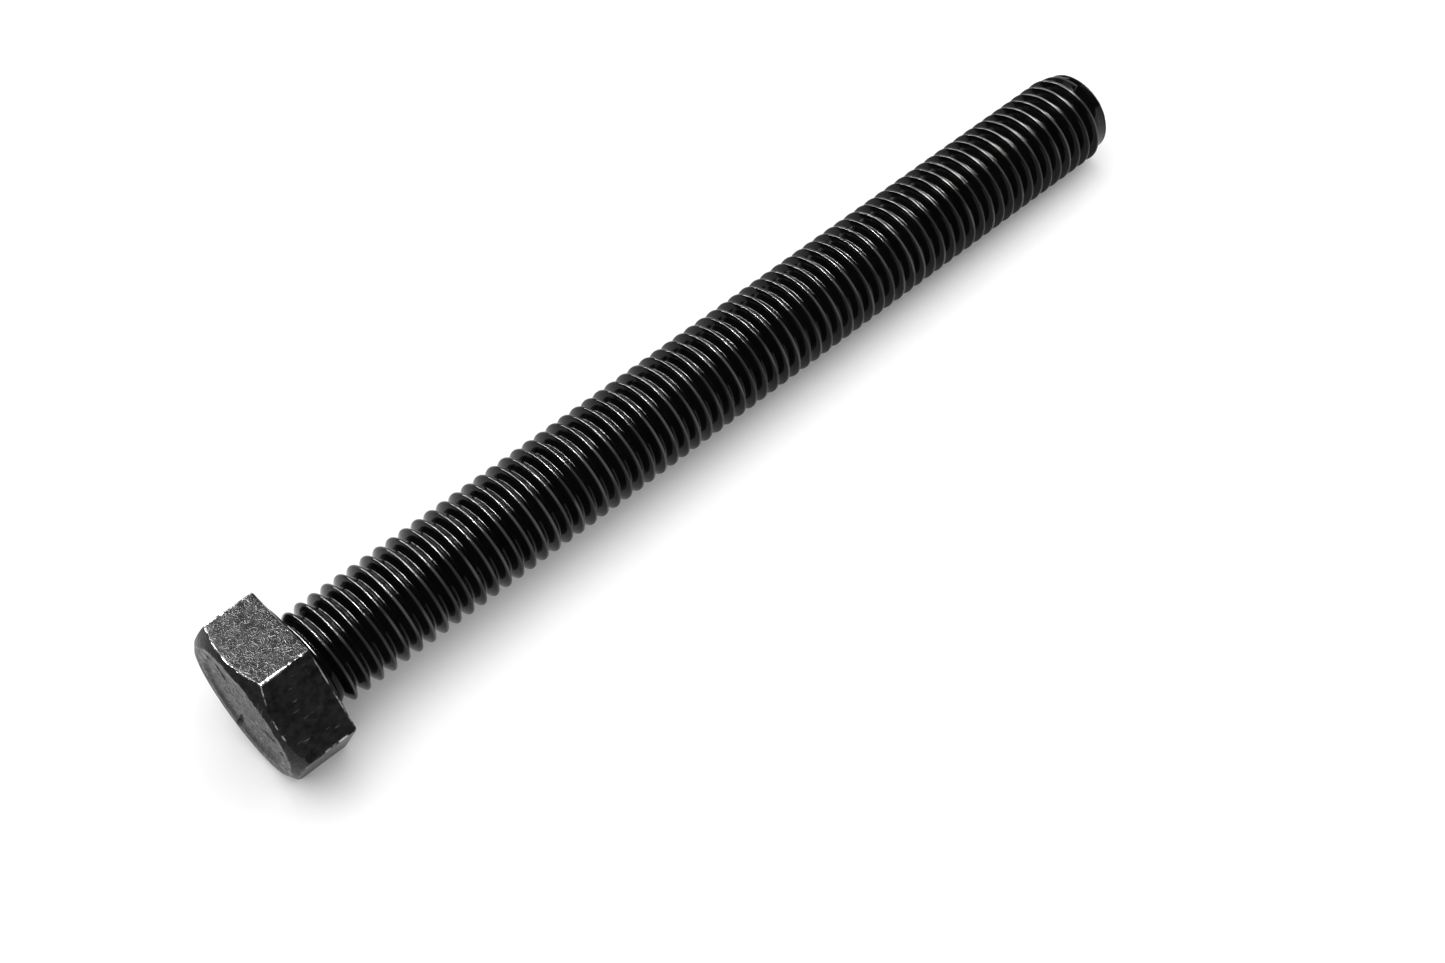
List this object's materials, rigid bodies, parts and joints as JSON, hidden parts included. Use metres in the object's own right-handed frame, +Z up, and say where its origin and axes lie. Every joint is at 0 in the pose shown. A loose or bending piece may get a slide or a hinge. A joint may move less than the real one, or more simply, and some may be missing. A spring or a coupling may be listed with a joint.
{
  "type": "hex bolt",
  "caption": "Long hex head bolt threaded over its whole length, with a chamfered head, a dished top with radial grade grooves, a fillet under the head and a chamfered point.",
  "frame": {"origin": "centre of the bearing face under the head, on the bolt's axis", "axes": "+X along the bolt's axis from the head towards the point; +Z up, square to one of the six flats; +Y square to the others to make a right-handed frame, through a corner of the head"},
  "size_m": [0.1717, 0.0274, 0.0238],
  "materials": {
    "head_black_oxide": "satin black oxide, bright at worn edges",
    "shank_black_oxide": "oiled glossy black oxide",
    "point_grey": "matt black oxide over a sheared face"
  },
  "bodies": {
    "root": {"hex_head": "head_black_oxide", "neck": "shank_black_oxide", "threaded_shank": "shank_black_oxide", "point": "point_grey"}
  },
  "joints": []
}
